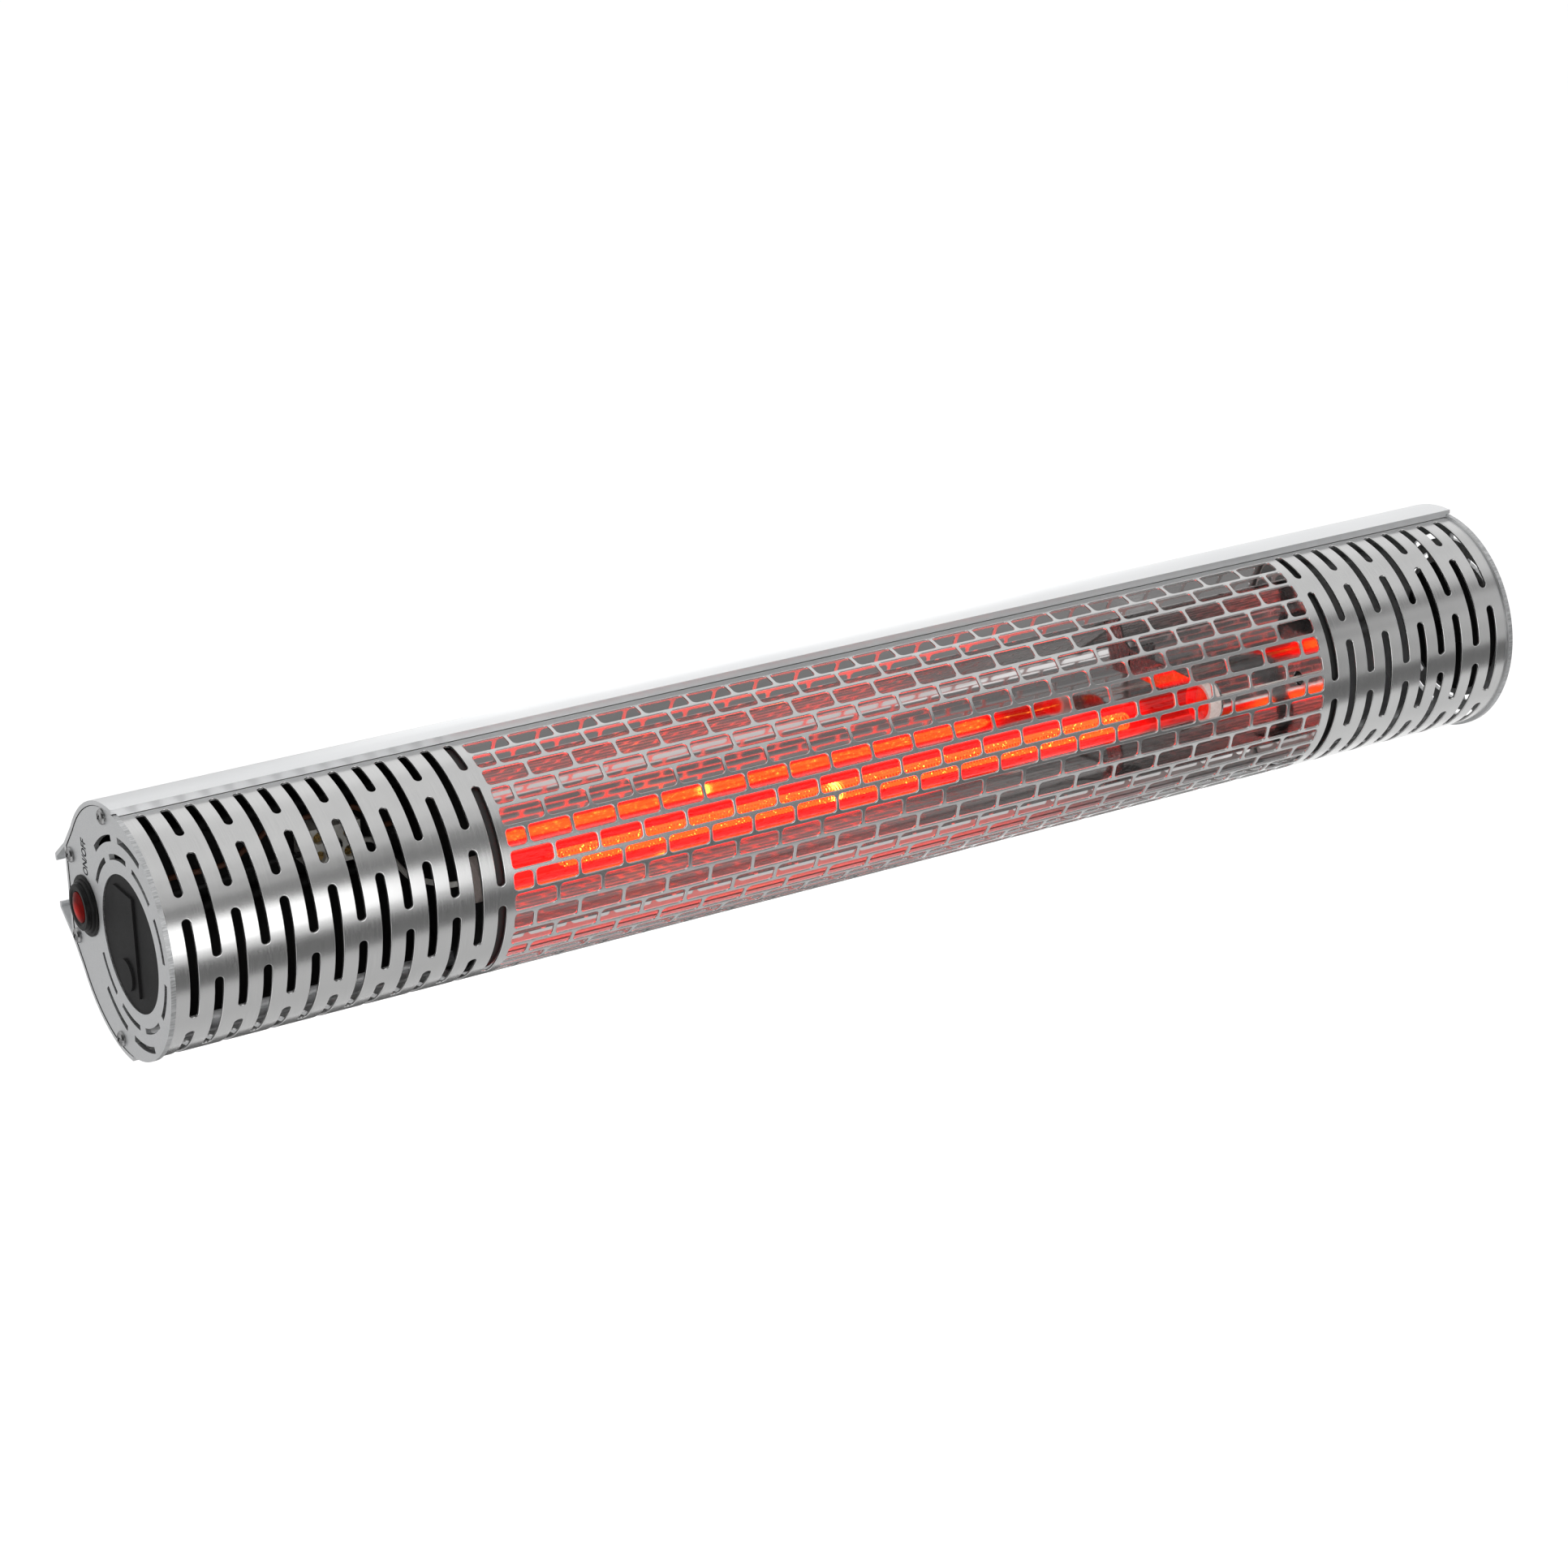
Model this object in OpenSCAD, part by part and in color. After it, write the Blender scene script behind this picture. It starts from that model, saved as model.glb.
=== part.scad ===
// Wall-mounted infrared bar heater: an aluminium extrusion carries a perforated
// front, two end plates, a reflector trough and one red-glass halogen lamp.
// +X runs along the heater, -Y is the front, +Z is up. The origin is the middle
// of the mounting channel's mouth.

/* [Body] */
// Overall length between the ends of the extrusion
heater_l = 783; // [770:1:800]
// Outer radius of the rear extrusion
shell_r = 63.4; // [63.2:0.1:63.8]
// Wall thickness of the rear extrusion
shell_wall = 2.2; // [2:0.1:2.3]
// Distance from the tube's axis to the mouth of the mounting channel
channel_back = 77; // [76:0.5:80]
// Half height of the mounting channel's mouth
mouth_half = 10.6; // [10:0.1:11]
// Thickness of the die-cut end plates
plate_t = 2.5; // [2:0.1:3]
// Radius of the end plates
plate_r = 60.8; // [60.6:0.1:61]

/* [Front grille] */
// Outer radius of the perforated sheet
grille_r = 59.5; // [59.4:0.1:59.6]
// Thickness of the perforated sheet
grille_t = 1; // [0.8:0.1:1]
// Distance between two columns of slots
slot_pitch = 12; // [11:0.1:12.2]
// Width of a slot
slot_w = 4.1; // [3:0.1:5]
// Columns of slots on the switch side
left_columns = 14; // [14:1:14]
// Columns of slots on the other side
right_columns = 10; // [8:1:10]
// Distance between two upright bars of the brick pattern
brick_pitch = 23.93; // [22:0.01:24]
// Length of a brick opening
brick_w = 21.85; // [18:0.01:22]
// Height of a brick opening
brick_h = 8.6; // [7:0.1:9]
// Rows of bricks around the front
brick_rows = 16; // [10:2:16]
// Angle between two rows of bricks, in degrees
row_step = 10.3; // [10:0.1:10.4]

/* [Lamp and reflector] */
// Right end of the lamp's glass, along X
lamp_x1 = 204; // [180:1:210]
// Outer radius of the lamp's glass
lamp_r = 9; // [8:0.1:9]
// Distance of the lamp in front of the tube's axis
lamp_front = 34; // [33:1:35]
// Inner radius of the reflector trough
trough_r = 46; // [45.5:0.1:46]
// Turns of the glowing filament
filament_turns = 64; // [20:1:70]
// Left end of the filament's coil, along X
filament_x0 = -180; // [-200:1:-150]
// Right end of the filament's coil, along X
filament_x1 = 155; // [140:1:180]

/* [Switch] */
// Radius of the red push button
button_r = 7.5; // [7:0.1:7.5]
// Travel of the push button
button_travel = 2.5; // [1:0.1:3]
// Distance of the switch behind the tube's axis
switch_back = 40; // [39:0.5:41]

/* [Hidden] */

$fn = 96;

// The plates lie a little below the ends of the extrusion.
plate_recess = 0.3;
plate_out = heater_l / 2 - plate_recess;
plate_in = plate_out - plate_t;
big = 200;

// Section of the extrusion, seen along X: the first value is back, the second up.
rear_flat = 62.8;
rear_inner = rear_flat - shell_wall;
rear_half = 24.6;
shoulder_deg = 35;
lip_front = -4;
lip_back = 6;
lip_floor_t = 1.5;
sheet_slot_in = 58.3;
sheet_slot_out = 59.7;
rib_r = 57;
hook_t = 2.2;
port_r = 3.6;
thread_r = 1.95;
shank_r = 1.9;
ports = [[7.7, 56.2], [55.2, 20.8], [7.7, -56.2], [55.2, -20.8]];

// Perforations, with angles measured up from the front.
end_margin = 10;
slot_span = 48.5;
slot_gap = 10;
slot_far_end = 83.7;
slot_round_deg = slot_w / 2 / grille_r * 180 / PI;
slot_end_turn = 22.5;
bar_w = brick_pitch - brick_w;
long_brick = 2.7;
bricks_in_row = 20;
long_in_full_row = 4;
long_in_half_row = 14;
half_brick = (brick_w - bar_w) / 2;
columns_x = heater_l / 2 - 2.5 - end_margin;
field_x0 = -columns_x + (left_columns - 1) * slot_pitch + 7;
field_l = bricks_in_row * brick_pitch - bar_w + long_brick;

// End plates: ventilation arcs on two rings round the cap.
cap_y = -13.6;
cap_r = 33;
cap_sink = 0.7;
ring_step = 39.25;
arc_span = 29.5;
inner_ring_r = 41.2;
inner_ring_w = 2.8;
inner_first = 40.5;
outer_ring_r = 50;
outer_ring_w = 3.3;
outer_first = 59.5;

// Reflector trough and the plates that close it.
trough_y = -8;
trough_t = 0.6;
flange_tip = [-3, 56.6];
left_wall_x = -219;
right_wall_x = 266.5;
reflector_t = 0.5;
bulkhead_t = 1.2;
bulkhead_r = 56.8;
skirt_l = 10;
skirt_deg = 84;
tab_l = 12;
tab_half = 12;
tab_screw_x = 6;
tab_screw_z = 6;
wire_y = 49;
wire_hole_r = 6;

// Lamp.
base_r = 11;
base_t = 7;
base_grip = 4;
base_left_x = left_wall_x - bulkhead_t - base_t;
base_right_x = lamp_x1 - base_grip;
lamp_x0 = base_left_x + base_t - base_grip;
bracket_x = base_right_x + base_t;
bracket_t = 1.2;
bracket_half = 7;
foot_l = 16;
foot_y = trough_y + sqrt(trough_r * trough_r - bracket_half * bracket_half) - 0.06;
rivet_x = [bracket_x + 6, bracket_x + 12];
rivet_hole_r = 1.6;
lead_r = 1.4;
lead_end_l = 4;

// Push switch, measured outwards from the face of the left plate.
boot_h = 4.6;
head_h = 3;
head_r = 10.2;
barrel_r = 9;
barrel_l = 12;
bore_depth = 8;
block_l = 18;
block_half = 8.5;
button_top = 5.8;
button_foot = -4;
collar_t = 1;
collar_r = 8.2;
dome_r = 19.5;
spring_seat = -1.5;
tab_end_x = -plate_out + barrel_l + block_l + 8;

// Terminal blocks on the rear wall, and the earthing point.
block_front = 43;
pole_pitch = 10;
lamp_block_x = [-276, -248];
supply_block_x = [300, 326];
lamp_fixing = [-262, 0];
supply_fixing = [313, 5];
earth_x = 346;
tag_l = 10;
entry_y = 52;

// Cable gland in the right cap.
gland_thread_r = 8;
gland_bore_r = 4.1;
gland_x = plate_out - cap_sink;

function ring_point(r, a) = [r * cos(a), r * sin(a)];
function unit(v) = v / norm(v);

// Moves from the tube's axis to the mouth of the channel.
module at_axis() {
    translate([0, -channel_back, 0]) children();
}

// Extrudes a section drawn as [back, up] over a length along X.
module along_x(x0, length) {
    translate([x0, 0, 0]) rotate([90, 0, 90]) linear_extrude(length) children();
}

module rod_x(x0, length, r) {
    translate([x0, 0, 0]) rotate([0, 90, 0]) cylinder(h = length, r = r);
}

// Turns a profile of [radius, x] points round the X axis.
module turned_x(points) {
    rotate([0, 90, 0]) rotate_extrude() polygon(points);
}

// A curved bar round the X axis between two angles up from the front.
module sector_x(x0, width, r0, r1, low, high) {
    rotate([0, 90, 0]) rotate([0, 0, 270 - high]) rotate_extrude(angle = high - low)
        translate([r0, x0]) square([r1 - r0, width]);
}

// Turns the Z axis to point out of the front at an angle.
module outwards(angle) {
    rotate([90 - angle, 0, 0]) children();
}

module rod_y(x, y0, length, z, r) {
    translate([x, y0, z]) rotate([-90, 0, 0]) cylinder(h = length, r = r, $fn = 32);
}

// A tube of a few sides that follows a list of points.
module swept(path, r, sides) {
    last = len(path) - 1;
    tangents = [for (i = [0 : last]) unit(path[min(i + 1, last)] - path[max(i - 1, 0)])];
    points = [
        for (i = [0 : last])
            let (side = unit(cross(tangents[i], [0.31, 0.42, 0.85])), up = cross(side, tangents[i]))
            for (k = [0 : sides - 1])
                path[i] + r * (cos(360 * k / sides) * side + sin(360 * k / sides) * up)
    ];
    ends = [[for (k = [0 : sides - 1]) k], [for (k = [sides - 1 : -1 : 0]) last * sides + k]];
    skin = [
        for (i = [0 : last - 1], k = [0 : sides - 1])
            let (a = i * sides + k, b = i * sides + (k + 1) % sides)
            for (f = [[a, a + sides, b], [b, a + sides, b + sides]]) f
    ];
    polyhedron(points, concat(ends, skin));
}

// Least gap between the turns of a wound wire, over its points up to two turns apart.
function least_gap(path, r, rings) = min([
    for (i = [0 : len(path) - 1 - rings / 2], j = [i + rings / 2 : min(len(path) - 1, i + 2 * rings)])
        norm(path[i] - path[j])
]) - 2 * r;

// Rounds each corner of a wire's route with a few points.
function rounded(route, r, steps = 4) = [
    for (i = [0 : len(route) - 1])
        if (i == 0 || i == len(route) - 1) route[i]
        else for (s = [0 : steps])
            let (
                before = route[i - 1] - route[i],
                after = route[i + 1] - route[i],
                reach = min(r, 0.45 * norm(before), 0.45 * norm(after)),
                a = route[i] + reach * unit(before),
                b = route[i] + reach * unit(after),
                t = s / steps
            )
            (1 - t) * (1 - t) * a + 2 * t * (1 - t) * route[i] + t * t * b
];

module wire(route) {
    at_axis() swept(rounded(route, 6), lead_r, 8);
}

// Outline of the round shell with its flat back, drawn in from the outside.
module shell_outline(inset) {
    r = shell_r - inset;
    shoulder = ring_point(r, shoulder_deg);
    corner = [rear_flat - inset, rear_half - inset / 2];
    difference() {
        union() {
            circle(r = r);
            polygon([
                [0, 0], [shoulder[0], -shoulder[1]], [corner[0], -corner[1]],
                corner, shoulder
            ]);
        }
        translate([corner[0], -big]) square([big, 2 * big]);
    }
}

// One hook of the mounting channel, with its rounded tip.
module channel_hook() {
    along_x(-heater_l / 2, heater_l) polygon([
        [rear_flat - 1.5, rear_half + 1], [channel_back - 0.8, mouth_half + 4],
        [channel_back, mouth_half + 3.2], [channel_back, mouth_half + hook_t / 2],
        [channel_back - hook_t, mouth_half + hook_t / 2],
        [channel_back - hook_t, mouth_half + 2.6], [rear_flat - 1, rear_half - 1.6]
    ]);
    translate([0, channel_back - hook_t / 2, mouth_half + hook_t / 2])
        rod_x(-heater_l / 2, heater_l, hook_t / 2);
}

// The lip that holds one edge of the perforated sheet.
module sheet_lip() {
    difference() {
        circle(r = shell_r);
        circle(r = rib_r);
        translate([lip_back, -big]) square([big, 2 * big]);
        translate([lip_front - big, -big]) square([big, 2 * big]);
        translate([-big, -big]) square([2 * big, big]);
        difference() {
            circle(r = sheet_slot_out);
            circle(r = sheet_slot_in);
            translate([lip_back - lip_floor_t, -big]) square([big, 2 * big]);
        }
    }
}

// A screw port with the web that ties it to the wall.
module screw_port(p) {
    turn = p[0] > rear_inner / 2 ? 0 : atan2(p[1], p[0]);
    translate([0, p[0], p[1]]) {
        rod_x(-heater_l / 2, heater_l, port_r);
        along_x(-heater_l / 2, heater_l) rotate(turn) translate([0, -1.5]) square([5.8, 3]);
    }
}

module rear_shell() {
    pocket = plate_recess + plate_t;
    color("silver") at_axis() difference() {
        union() {
            along_x(-heater_l / 2, heater_l) difference() {
                shell_outline(0);
                shell_outline(shell_wall);
                translate([lip_front - big, -big]) square([big, 2 * big]);
            }
            for (side = [0, 1]) mirror([0, 0, side]) {
                along_x(-heater_l / 2, heater_l) sheet_lip();
                channel_hook();
            }
            for (p = ports) screw_port(p);
        }
        for (p = ports)
            translate([0, p[0], p[1]]) rod_x(-heater_l / 2 - 1, heater_l + 2, thread_r);
        along_x(-heater_l / 2 - 1, pocket + 1) shell_outline(shell_wall);
        along_x(heater_l / 2 - pocket, pocket + 1) shell_outline(shell_wall);
        for (x = [left_wall_x - tab_screw_x, right_wall_x + tab_screw_x], z = [-1, 1])
            rod_y(x, rear_inner - 1, 4, z * tab_screw_z, shank_r + 0.2);
        rod_y(earth_x, rear_inner - 1, 4, 0, thread_r);
        rod_y(lamp_fixing[0], rear_inner - 1, 4, lamp_fixing[1], thread_r);
        rod_y(supply_fixing[0], rear_inner - 1, 4, supply_fixing[1], thread_r);
    }
}

// The bent sheet's section, with a narrow flat on each half row of windows.
module sheet_section() {
    edge = 90 + asin((lip_back - 2) / grille_r);
    flat = row_step / 2;
    last = floor(edge / flat);
    angles = concat([-edge], [for (i = [-last : last]) i * flat], [edge]);
    n = len(angles) - 1;
    polygon(concat(
        [for (a = angles) ring_point(grille_r, 180 - a)],
        [for (i = [n : -1 : 0]) ring_point(grille_r - grille_t, 180 - angles[i])]
    ));
}

module slot_cutter(x, low, high) {
    a = low + slot_round_deg;
    b = high - slot_round_deg;
    sector_x(x - slot_w / 2, slot_w, grille_r - 3, grille_r + 2, a, b);
    for (t = [a, b])
        outwards(t) translate([x, 0, grille_r - 3]) rotate(slot_end_turn)
            cylinder(h = 5, r = slot_w / 2 / cos(slot_end_turn), $fn = 8);
}

// Slots stand in columns, staggered like brickwork and mirrored top to bottom.
module slot_column(x, starts_long) {
    first = starts_long ? slot_span / 2 + slot_gap : slot_gap / 2;
    second = first + slot_span + slot_gap;
    if (starts_long) slot_cutter(x, -slot_span / 2, slot_span / 2);
    for (side = [0, 1]) mirror([0, 0, side]) {
        slot_cutter(x, first, min(first + slot_span, slot_far_end));
        if (second < slot_far_end) slot_cutter(x, second, slot_far_end);
    }
}

module brick_opening(x, w) {
    translate([x, -brick_h / 2]) square([w, brick_h]);
}

// A row of whole bricks, one of them longer.
module full_row() {
    for (i = [0 : bricks_in_row - 1])
        brick_opening(
            field_x0 + i * brick_pitch + (i > long_in_full_row ? long_brick : 0),
            brick_w + (i == long_in_full_row ? long_brick : 0)
        );
}

// A row that starts and ends with half a brick.
module half_row() {
    first = field_x0 + half_brick + bar_w;
    brick_opening(field_x0, half_brick);
    for (i = [0 : bricks_in_row - 2])
        brick_opening(
            first + i * brick_pitch + (i > long_in_half_row ? long_brick : 0),
            brick_w + (i == long_in_half_row ? long_brick : 0)
        );
    brick_opening(field_x0 + field_l - half_brick, half_brick);
}

module front_grille() {
    color("lightgray") at_axis() difference() {
        along_x(-plate_in + 0.1, 2 * plate_in - 0.2) sheet_section();
        for (j = [0 : left_columns - 1])
            slot_column(-columns_x + j * slot_pitch, j % 2 == 0);
        for (j = [0 : right_columns - 1])
            slot_column(columns_x - j * slot_pitch, j % 2 == 0);
        for (i = [0 : brick_rows - 1])
            outwards(((brick_rows - 1) / 2 - i) * row_step)
                translate([0, 0, grille_r - 4]) linear_extrude(6)
                    if (i % 2 == 0) full_row();
                    else half_row();
    }
}

// Ventilation arcs of one ring, above and below the cap.
module vent_ring(r, w, first, count) {
    translate([0, cap_y, 0]) for (i = [0 : count - 1], side = [0, 1]) mirror([0, 0, side])
        sector_x(
            -1, plate_t + 2, r - w / 2, r + w / 2,
            180 - first - i * ring_step - arc_span / 2, 180 - first - i * ring_step + arc_span / 2
        );
}

// An end plate whose inner face lies at x = 0.
module end_plate() {
    difference() {
        along_x(0, plate_t) shell_outline(shell_r - plate_r);
        translate([0, cap_y, 0]) rod_x(-1, plate_t + 2, cap_r + 0.15);
        vent_ring(inner_ring_r, inner_ring_w, inner_first, 4);
        vent_ring(outer_ring_r, outer_ring_w, outer_first, 2);
        for (p = ports) translate([0, p[0], p[1]]) rod_x(-1, plate_t + 2, shank_r + 0.3);
    }
}

module left_end_plate() {
    color("silver") at_axis() difference() {
        translate([-plate_in, 0, 0]) mirror([1, 0, 0]) end_plate();
        translate([0, switch_back, 0]) rod_x(-plate_out - 1, plate_t + 2, barrel_r + 0.15);
    }
}

module right_end_plate() {
    color("silver") at_axis() translate([plate_in, 0, 0]) end_plate();
}

// A pan-head screw along X, its head standing on x = 0 and its shank behind.
module pan_screw(shank_l) {
    head_rise = 2.2;
    difference() {
        union() {
            turned_x([[0, 0], [3.8, 0], [3.8, 0.9], [3.3, 1.7], [2.2, head_rise], [0, head_rise]]);
            rod_x(-shank_l, shank_l + 0.5, shank_r);
        }
        for (a = [45, 135]) rotate([a, 0, 0]) translate([1.1, -2, -0.4]) cube([2, 4, 0.8]);
    }
}

module plate_screws() {
    for (p = ports) translate([plate_out, p[0], p[1]]) pan_screw(12);
}

module left_plate_screws() {
    color("gainsboro") at_axis() mirror([1, 0, 0]) plate_screws();
}

module right_plate_screws() {
    color("gainsboro") at_axis() plate_screws();
}

// A moulded disc that fills the plate's round hole, on a flange behind it.
module cap_disc() {
    translate([0, cap_y, 0]) {
        rod_x(plate_in - 1.8, plate_t - cap_sink + 1.8, cap_r);
        rod_x(plate_in - 1.8, 1.8, cap_r + 3);
    }
}

module left_end_cap() {
    pad = [1.2, 22, 50];
    boss_r = 7.8;
    color("dimgray") at_axis() mirror([1, 0, 0]) {
        cap_disc();
        translate([gland_x - 0.5, -20.8, -pad[2] / 2]) cube(pad + [0.5, 0, 0]);
        translate([0, -8.7, -17]) rod_x(gland_x, pad[0] + 1.3, boss_r);
    }
}

module right_end_cap() {
    color("dimgray") at_axis() difference() {
        cap_disc();
        translate([0, cap_y, 0]) rod_x(plate_in - 5, plate_t + 10, gland_thread_r + 0.15);
    }
}

module trough_flange(x0, length) {
    along_x(x0, length) polygon([
        [trough_y, trough_r], flange_tip, flange_tip + [0.54, -0.26],
        [trough_y + 0.54, trough_r + 0.3]
    ]);
}

module reflector() {
    x0 = left_wall_x + reflector_t;
    length = right_wall_x - left_wall_x - 2 * reflector_t;
    color("whitesmoke") at_axis() difference() {
        union() {
            along_x(x0, length) difference() {
                translate([trough_y, 0]) circle(r = trough_r + trough_t);
                translate([trough_y, 0]) circle(r = trough_r);
                translate([trough_y - big, -big]) square([big, 2 * big]);
            }
            trough_flange(x0, length);
            mirror([0, 0, 1]) trough_flange(x0, length);
        }
        for (x = rivet_x) rod_y(x, foot_y - 5, 10, 0, rivet_hole_r);
    }
}

// The polished plate that closes one end of the trough.
module end_reflector(x0, hole_r) {
    at_axis() difference() {
        along_x(x0, reflector_t) {
            translate([trough_y, 0]) circle(r = trough_r + trough_t);
            intersection() {
                circle(r = bulkhead_r);
                translate([trough_y - big + 5.3, -big]) square([big, 2 * big]);
            }
        }
        translate([0, -lamp_front, 0]) rod_x(x0 - 1, reflector_t + 2, hole_r);
    }
}

module left_end_reflector() {
    color("whitesmoke") end_reflector(left_wall_x, lamp_r + 0.4);
}

module right_end_reflector() {
    color("whitesmoke") end_reflector(right_wall_x - reflector_t, 4);
}

// A bulkhead whose chamber side lies at x = 0, with its skirt and tab outwards.
module bulkhead(lamp_hole_r) {
    difference() {
        union() {
            along_x(0, bulkhead_t) {
                circle(r = bulkhead_r);
                translate([bulkhead_r - 6, -tab_half])
                    square([rear_inner - bulkhead_r + 6, 2 * tab_half]);
            }
            sector_x(
                bulkhead_t - 0.4, 0.4 + skirt_l, bulkhead_r - 0.3 - bulkhead_t, bulkhead_r - 0.3,
                -skirt_deg, skirt_deg
            );
            translate([0, rear_inner - bulkhead_t, -tab_half])
                cube([tab_l, bulkhead_t, 2 * tab_half]);
        }
        for (p = ports) translate([0, p[0], p[1]]) rod_x(-1, 4, port_r + 0.7);
        translate([0, -lamp_front, 0]) rod_x(-1, 4, lamp_hole_r);
        translate([0, wire_y, 0]) rod_x(-1, 4, wire_hole_r);
        for (z = [-1, 1]) rod_y(tab_screw_x, rear_inner - 3, 4, z * tab_screw_z, thread_r);
    }
}

module left_bulkhead() {
    color([0.16, 0.16, 0.17]) at_axis() translate([left_wall_x, 0, 0]) mirror([1, 0, 0])
        bulkhead(lamp_r + 0.4);
}

module right_bulkhead() {
    color([0.16, 0.16, 0.17]) at_axis() translate([right_wall_x, 0, 0]) bulkhead(4);
}

module bulkhead_screws() {
    color("gainsboro") at_axis()
        for (x = [left_wall_x - tab_screw_x, right_wall_x + tab_screw_x], z = [-1, 1])
            translate([x, rear_flat, z * tab_screw_z]) rotate([0, 0, 90]) pan_screw(6);
}

module wire_grommets() {
    color("black") at_axis()
        for (x = [left_wall_x - bulkhead_t, right_wall_x])
            translate([x, wire_y, 0]) difference() {
                union() {
                    rod_x(0, bulkhead_t, wire_hole_r);
                    rod_x(-1.5, 1.5, wire_hole_r + 1.6);
                    rod_x(bulkhead_t, 1.5, wire_hole_r + 1.6);
                }
                rod_x(-3, 8, wire_hole_r - 1.6);
            }
}

module lamp_glass() {
    color([0.8, 0.1, 0.05]) at_axis() translate([0, -lamp_front, 0]) difference() {
        rod_x(lamp_x0, lamp_x1 - lamp_x0, lamp_r);
        rod_x(lamp_x0 - 1, lamp_x1 - lamp_x0 + 2, lamp_r - 1.2);
    }
}

// One unbroken wire: a straight leg, the coil, and a straight leg.
module lamp_filament() {
    coil_r = 4.6;
    wire_r = 0.6;
    rings = 8;
    steps = filament_turns * rings;
    coil_l = filament_x1 - filament_x0;
    coil = [
        for (i = [0 : steps])
            let (
                a = 360 * i / rings,
                swell = min(1, i / rings, (steps - i) / rings),
                r = coil_r * swell
            )
            [filament_x0 + coil_l * i / steps, r * cos(a), r * sin(a)]
    ];
    legs = concat([[lamp_x0, 0, 0]], coil, [[lamp_x1, 0, 0]]);
    echo(filament_gap = least_gap(legs, wire_r, rings));
    color("orange") at_axis() translate([0, -lamp_front, 0]) swept(legs, wire_r, 6);
}

// A ceramic base that grips the glass over part of its length.
module lamp_base() {
    difference() {
        rod_x(0, base_t, base_r);
        rod_x(base_t - base_grip, base_grip + 1, lamp_r + 0.1);
        rod_x(-1, base_t + 2, lead_r + 0.2);
    }
}

module lamp_base_left() {
    color("mistyrose") at_axis() translate([base_left_x, -lamp_front, 0]) lamp_base();
}

module lamp_base_right() {
    color("mistyrose") at_axis() translate([base_right_x + base_t, -lamp_front, 0])
        mirror([1, 0, 0]) lamp_base();
}

// A bent strip that stands on the back of the trough and carries the right base.
module lamp_bracket() {
    color("gainsboro") at_axis() difference() {
        union() {
            along_x(bracket_x, bracket_t) {
                translate([-lamp_front, 0]) circle(r = base_r);
                translate([-lamp_front, -bracket_half])
                    square([lamp_front + foot_y, 2 * bracket_half]);
            }
            translate([bracket_x, foot_y - bracket_t, -bracket_half])
                cube([foot_l, bracket_t, 2 * bracket_half]);
        }
        translate([0, -lamp_front, 0]) rod_x(bracket_x - 1, 4, 3);
        for (x = rivet_x) rod_y(x, foot_y - 3, 6, 0, rivet_hole_r);
    }
}

module bracket_rivets() {
    back_y = trough_y + trough_r + trough_t;
    color("gainsboro") at_axis() for (x = rivet_x) {
        rod_y(x, foot_y - bracket_t - 1, 1, 0, 3);
        rod_y(x, foot_y - bracket_t - 0.5, back_y - foot_y + bracket_t + 1, 0, 1.5);
        rod_y(x, back_y + 0.02, 0.8, 0, 2.6);
    }
}

// Places a piece of the switch: x is measured outwards from the plate's face.
module at_switch() {
    at_axis() translate([-plate_out, switch_back, 0]) mirror([1, 0, 0]) children();
}

module switch_boot() {
    color([0.12, 0.12, 0.12]) at_switch() turned_x([
        [head_r + 0.05, 0], [15, 0], [15, 0.8], [14.6, 1.2], [13.2, 1.2], [13, 1.9],
        [12.2, 2.3], [11.6, 2.3], [11.4, boot_h - 0.5], [10.9, boot_h], [9.2, boot_h],
        [8.6, boot_h - 0.4], [button_r + 0.3, boot_h - 0.6],
        [button_r + 0.3, head_h + 0.05], [head_r + 0.05, head_h + 0.05]
    ]);
}

module switch_body() {
    color([0.1, 0.1, 0.1]) at_switch() difference() {
        union() {
            rod_x(0, head_h, head_r);
            rod_x(-barrel_l, barrel_l, barrel_r);
            translate([-barrel_l - block_l, -block_half, -block_half])
                cube([block_l, 2 * block_half, 2 * block_half]);
        }
        rod_x(button_foot + collar_t - 1, head_h - button_foot + 2, button_r + 0.1);
        rod_x(-bore_depth, bore_depth + button_foot + collar_t + 0.05, collar_r + 0.1);
    }
}

// The lens: a shallow dome above, a collar that keeps it in, a seat for the spring.
module switch_button() {
    dome = [
        for (i = [0 : 6])
            let (r = button_r * (6 - i) / 6)
            [r, button_top - dome_r + sqrt(dome_r * dome_r - r * r)]
    ];
    color([0.8, 0.05, 0.05]) at_switch() difference() {
        turned_x(concat(
            [[0, button_foot], [collar_r, button_foot], [collar_r, button_foot + collar_t],
             [button_r, button_foot + collar_t]],
            dome
        ));
        rod_x(button_foot - 1, spring_seat - button_foot + 1, 4);
    }
}

module switch_spring() {
    turns = 5;
    rings = 8;
    coil_r = 3;
    wire_r = 0.35;
    length = spring_seat + bore_depth - 2 * wire_r;
    path = [
        for (i = [0 : turns * rings])
            let (a = 360 * i / rings)
            [-bore_depth + wire_r + length * i / turns / rings, coil_r * cos(a), coil_r * sin(a)]
    ];
    echo(spring_gap = least_gap(path, wire_r, rings));
    color("silver") at_switch() swept(path, wire_r, 6);
}

module switch_nut() {
    nut_t = 3;
    color("dimgray") at_switch() translate([-plate_t - nut_t, 0, 0]) difference() {
        rotate([0, 90, 0]) cylinder(h = nut_t, r = 13, $fn = 6);
        rod_x(-1, nut_t + 2, barrel_r + 0.05);
    }
}

module switch_tabs() {
    color("gold") at_switch()
        for (z = [-1, 1])
            translate([-barrel_l - block_l - 8, -3.15, z * 4 - 0.4]) cube([8, 6.3, 0.8]);
}

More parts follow.
